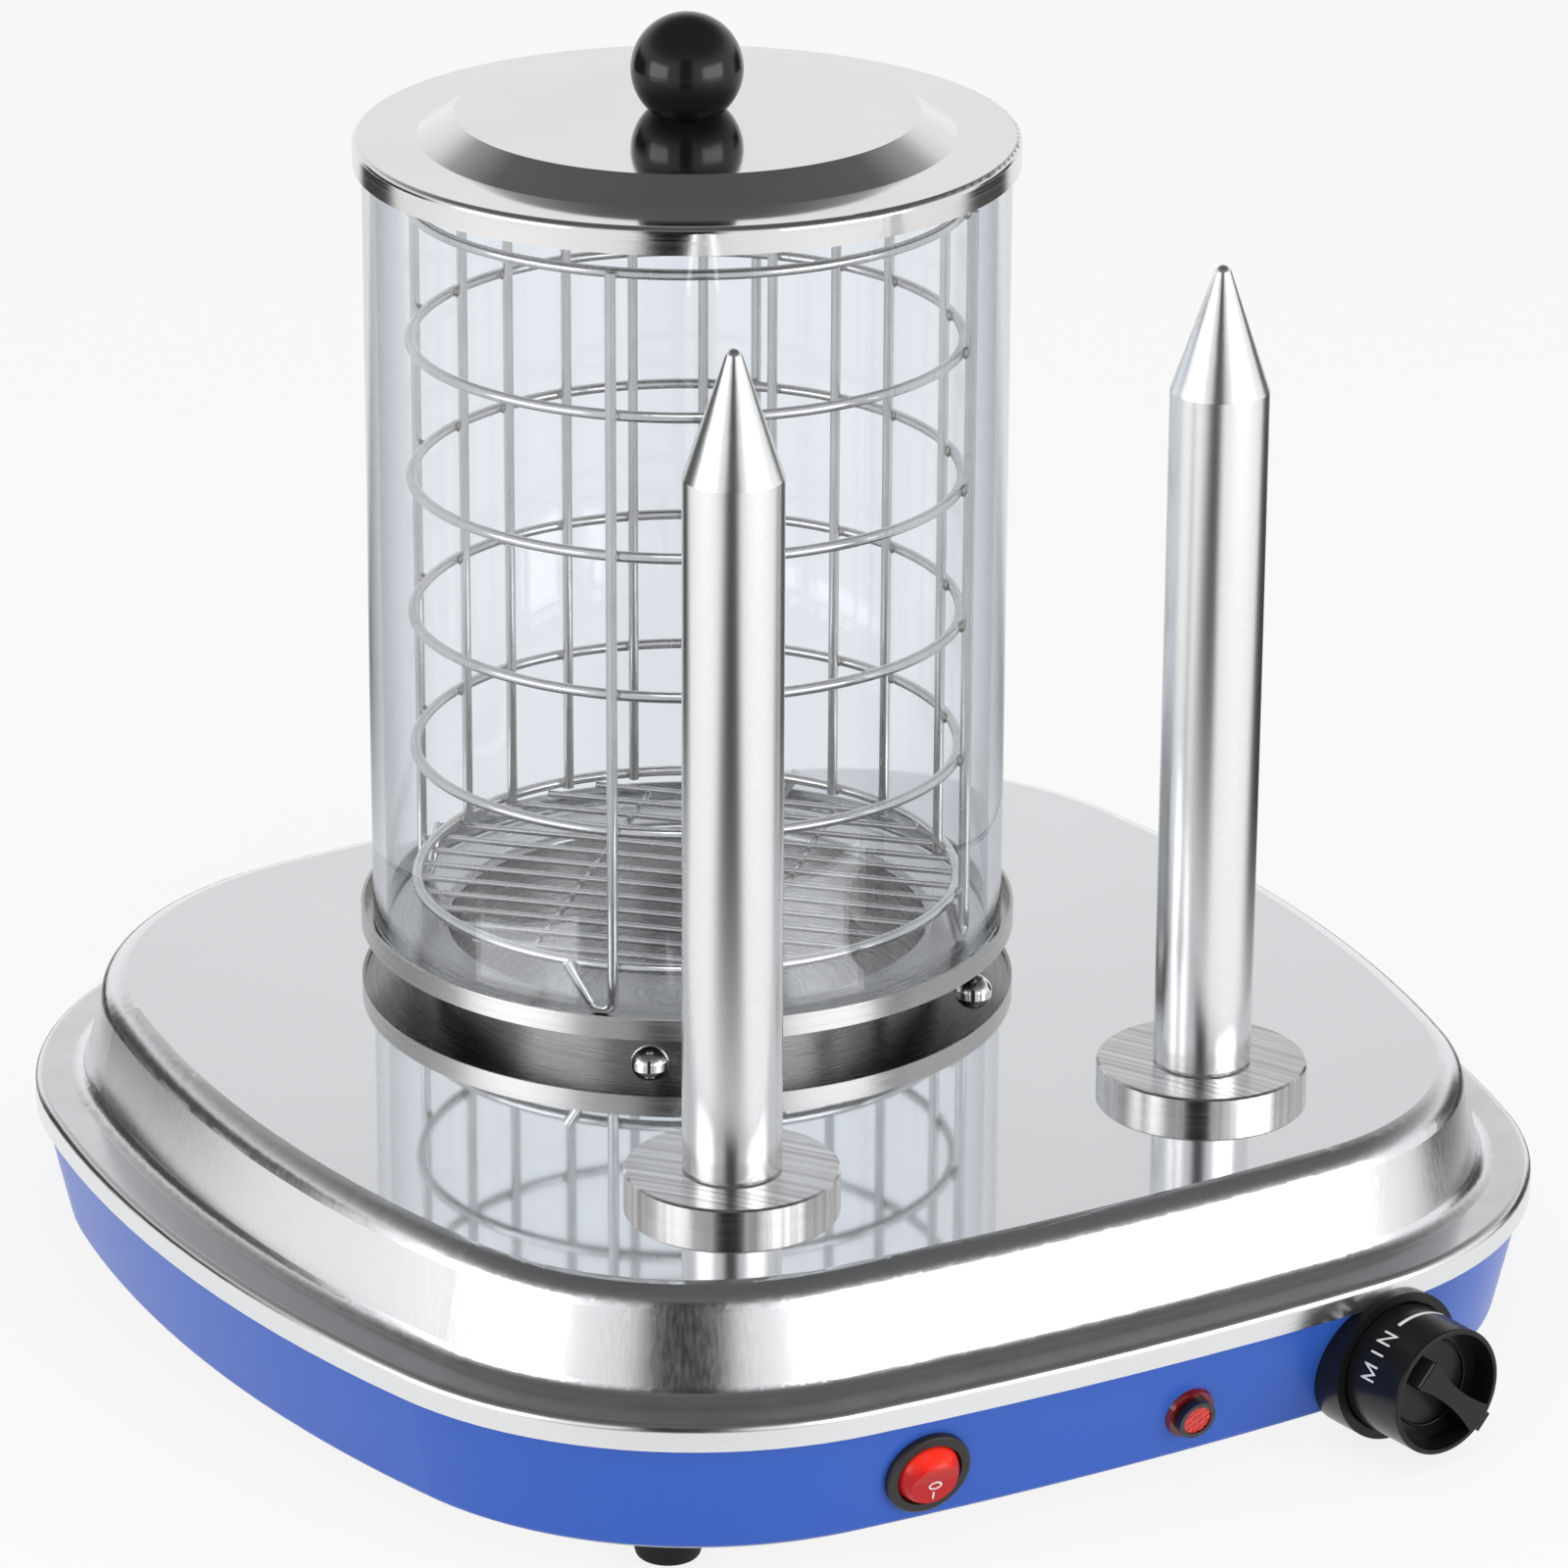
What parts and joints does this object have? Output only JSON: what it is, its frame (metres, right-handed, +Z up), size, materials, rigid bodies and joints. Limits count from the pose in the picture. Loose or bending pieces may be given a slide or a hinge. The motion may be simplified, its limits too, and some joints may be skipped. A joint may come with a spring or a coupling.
{
  "type": "hot dog spike machine",
  "caption": "Square-based hot dog warmer with a polished cover, upright bun spikes, and a lidded glass cylinder around a wire basket.",
  "frame": {"origin": "middle of the footprint, on the surface that the feet stand on", "axes": "+Z up; -Y towards the front, where the controls are; +X to the right for a user who faces the front"},
  "size_m": [0.4048, 0.4287, 0.3713],
  "materials": {
    "blue_paint": "glossy baked enamel",
    "polished_steel": "mirror polished stainless steel",
    "brushed_steel": "fine circular brushing",
    "wire_steel": "bright drawn stainless wire",
    "plain_steel": "plain zinc coated steel",
    "dark_steel": "dark oxidised heater sheath",
    "aluminium": "satin turned aluminium",
    "glass": "clear, polished",
    "black_plastic": "glossy black",
    "red_plastic": "glossy translucent red",
    "red_lens": "faceted translucent red",
    "white_plastic": "matt off-white",
    "rubber": "matt black",
    "brass": "bright stamped"
  },
  "bodies": {
    "base": {"base_shell": "blue_paint", "top_cover": "polished_steel", "bottom_plate": "plain_steel", "foot_1": "rubber", "foot_2": "rubber", "foot_3": "rubber", "foot_4": "rubber", "foot_screw_1": "plain_steel", "foot_screw_2": "plain_steel", "foot_screw_3": "plain_steel", "foot_screw_4": "plain_steel", "tray_seat": "plain_steel", "cover_screw_1": "polished_steel", "cover_screw_2": "polished_steel", "cover_screw_3": "polished_steel", "cover_screw_4": "polished_steel", "cover_nut_1": "plain_steel", "cover_nut_2": "plain_steel", "cover_nut_3": "plain_steel", "cover_nut_4": "plain_steel", "heater_plate": "aluminium", "heating_element": "dark_steel", "heater_stud": "plain_steel", "heater_nut": "plain_steel", "thermal_cutout": "black_plastic", "spike_left": "aluminium", "spike_right": "aluminium", "spike_disc_left": "brushed_steel", "spike_disc_right": "brushed_steel", "spike_nut_left": "plain_steel", "spike_nut_right": "plain_steel", "spike_heater_left": "dark_steel", "spike_heater_right": "dark_steel", "switch_housing": "black_plastic", "switch_terminals": "brass", "lamp_bezel": "red_plastic", "lamp_lens": "red_lens", "lamp_nut": "plain_steel", "thermostat_body": "plain_steel", "thermostat_nut": "plain_steel", "knob_collar": "black_plastic", "cable_gland": "black_plastic", "gland_nut": "black_plastic", "terminal_block": "white_plastic"},
    "tray": {"water_tray": "polished_steel"},
    "basket": {"basket_rings": "wire_steel", "basket_uprights": "wire_steel", "basket_legs": "wire_steel", "basket_floor": "wire_steel"},
    "glass": {"glass_cylinder": "glass"},
    "lid": {"lid_shell": "brushed_steel", "lid_knob": "black_plastic", "lid_knob_screw": "plain_steel"},
    "rocker": {"switch_rocker": "red_plastic"},
    "knob": {"thermostat_knob": "black_plastic", "thermostat_shaft": "plain_steel"}
  },
  "joints": [
    {"name": "tray_lift", "type": "slide", "parent": "base", "child": "tray", "axis": [0, 0, 1], "range_m": [0, 0.06]},
    {"name": "basket_lift", "type": "slide", "parent": "tray", "child": "basket", "axis": [0, 0, 1], "range_m": [0, 0.1]},
    {"name": "glass_lift", "type": "slide", "parent": "basket", "child": "glass", "axis": [0, 0, 1], "range_m": [0, 0.26]},
    {"name": "lid_lift", "type": "slide", "parent": "glass", "child": "lid", "axis": [0, 0, 1], "range_m": [0, 0.15]},
    {"name": "rocker_turn", "type": "hinge", "parent": "base", "child": "rocker", "pos_m": [-0.06375, -0.18274, 0.02542], "axis": [0.9986, -0.0534, 0], "range_deg": [0, 20]},
    {"name": "knob_turn", "type": "hinge", "parent": "base", "child": "knob", "pos_m": [0.0873, -0.1816, 0.024], "axis": [0.1132, -0.9936, 0], "range_deg": [-270, 0]}
  ]
}
